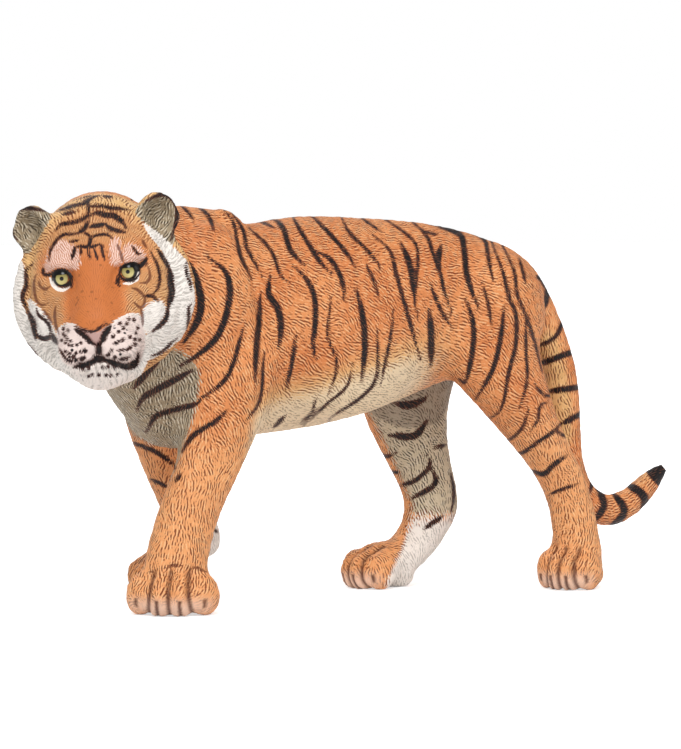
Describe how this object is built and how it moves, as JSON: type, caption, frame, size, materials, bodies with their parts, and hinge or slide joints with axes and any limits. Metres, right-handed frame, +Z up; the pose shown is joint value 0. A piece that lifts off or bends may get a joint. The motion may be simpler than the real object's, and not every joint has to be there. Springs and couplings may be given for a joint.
{
  "type": "tiger figurine",
  "caption": "Moulded figurine of a walking tiger with its head turned to its left and its tail curled out behind, for a shelf or play.",
  "frame": {"origin": "middle of the bounding box, on the ground under the soles", "axes": "-X the way the tiger walks, -Y its left side, the side its face turns to, +Z up"},
  "size_m": [0.143, 0.0456, 0.0753],
  "materials": {
    "painted_vinyl": "matte paint over moulded fur: orange coat, black stripes, white face, ruff and belly"
  },
  "bodies": {
    "root": {"tiger_figurine": "painted_vinyl"}
  },
  "joints": []
}
